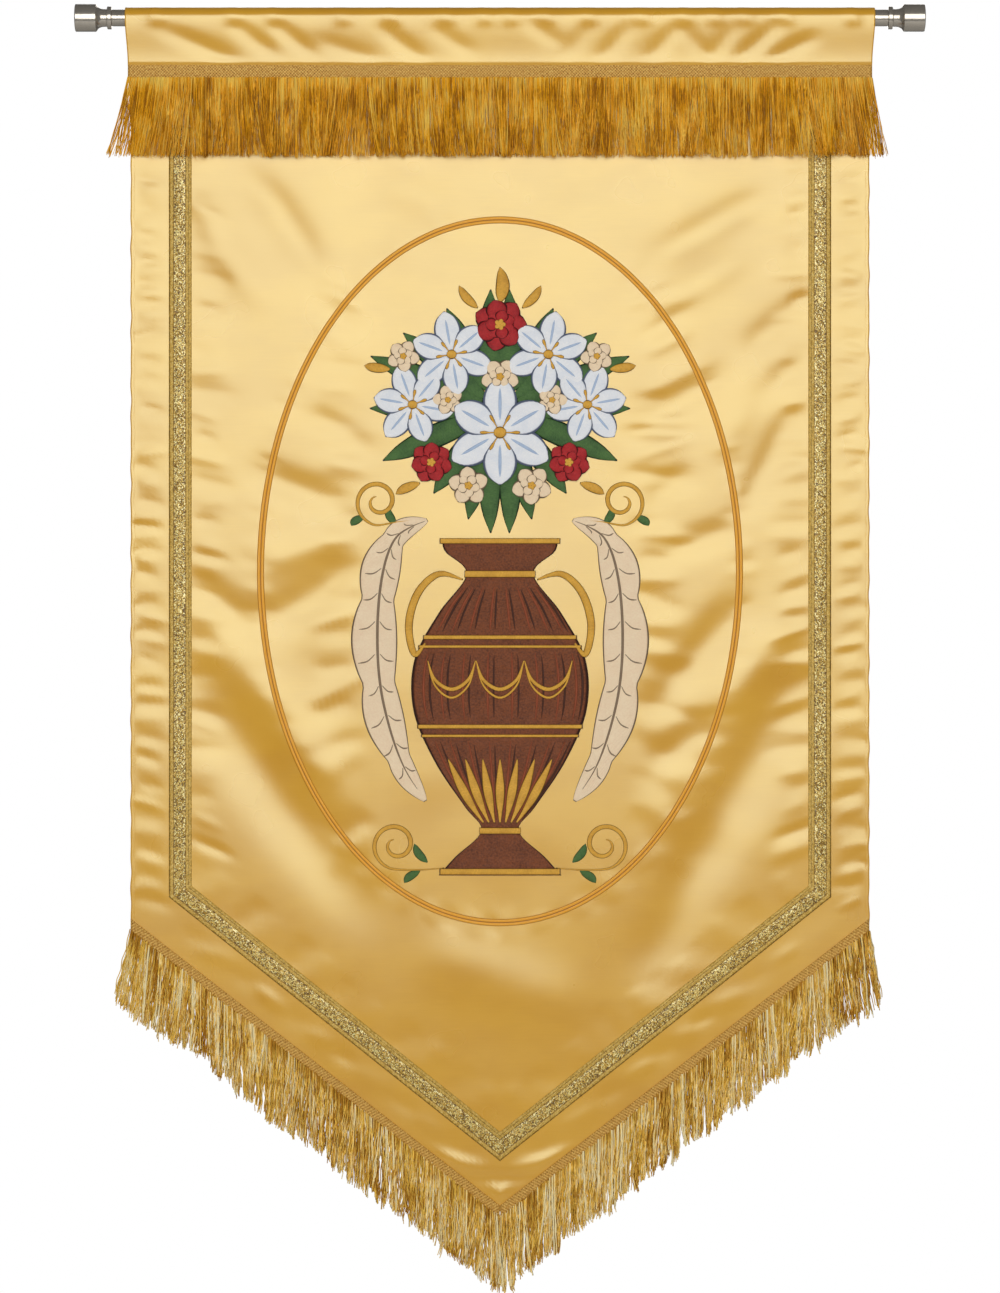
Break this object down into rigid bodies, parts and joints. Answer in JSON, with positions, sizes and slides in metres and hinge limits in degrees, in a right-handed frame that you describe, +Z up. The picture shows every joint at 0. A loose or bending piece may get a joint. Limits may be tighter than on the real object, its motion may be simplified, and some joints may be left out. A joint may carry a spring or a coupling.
{
  "type": "church banner with its hanging rod",
  "caption": "Gold satin processional banner with a V-shaped foot, braid border, fringes and an embroidered urn of flowers in an oval, hanging by its sleeve from a steel rod.",
  "frame": {"origin": "on the rod's axis, halfway along it", "axes": "+X along the rod to the right as seen from the front, +Z up, the banner's front faces -Y"},
  "size_m": [0.913, 0.0296, 1.3808],
  "materials": {
    "steel": "brushed, satin nickel tone",
    "satin": "smooth gold satin with a soft sheen",
    "galloon": "metallic olive-gold woven braid",
    "cord": "orange-gold satin stitch",
    "brown_stitching": "chestnut fill stitch",
    "cream_stitching": "cream fill stitch",
    "white_stitching": "white fill stitch shaded with pale blue",
    "fringe": "antique gold silky thread"
  },
  "bodies": {
    "root": {"rod": "steel", "finial_left": "steel", "finial_right": "steel", "banner_cloth": "satin", "galloon_braid": "galloon", "oval_cord": "cord", "urn_patch": "brown_stitching", "leaf_patch_left": "cream_stitching", "leaf_patch_right": "cream_stitching", "bouquet_patch": "white_stitching", "top_fringe": "fringe", "bottom_fringe_left": "fringe", "bottom_fringe_right": "fringe"}
  },
  "joints": []
}
